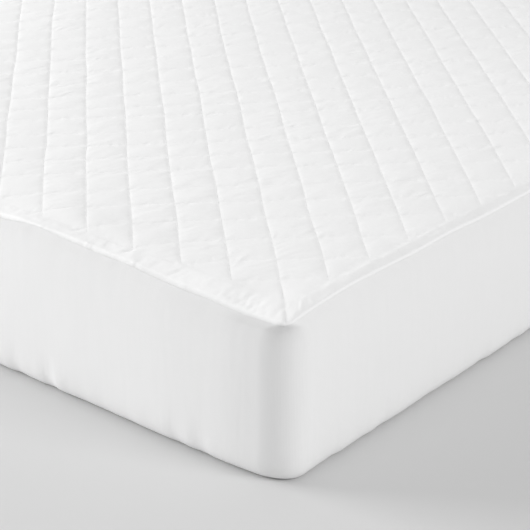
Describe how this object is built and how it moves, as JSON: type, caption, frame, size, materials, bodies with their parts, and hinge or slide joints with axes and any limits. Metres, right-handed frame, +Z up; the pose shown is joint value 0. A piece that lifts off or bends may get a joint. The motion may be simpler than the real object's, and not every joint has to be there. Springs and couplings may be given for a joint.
{
  "type": "quilted mattress protector on a mattress",
  "caption": "White fitted mattress protector on a plain mattress: a diamond-quilted top pad sewn to a smooth stretch skirt that is drawn in under the mattress.",
  "frame": {"origin": "middle of the underside, on the surface that the mattress rests on", "axes": "+Z up, +Y from the foot end to the head end, +X towards the right-hand long side seen from the foot end"},
  "size_m": [1.534, 2.034, 0.3076],
  "materials": {
    "quilted_cotton": "white cotton cover, matt, puffed between diamond stitching",
    "stretch_knit": "white fine stretch knit, smooth and matt",
    "mattress_cover": "plain off-white mattress fabric, matt"
  },
  "bodies": {
    "root": {"quilted_top": "quilted_cotton", "skirt": "stretch_knit", "mattress": "mattress_cover"}
  },
  "joints": []
}
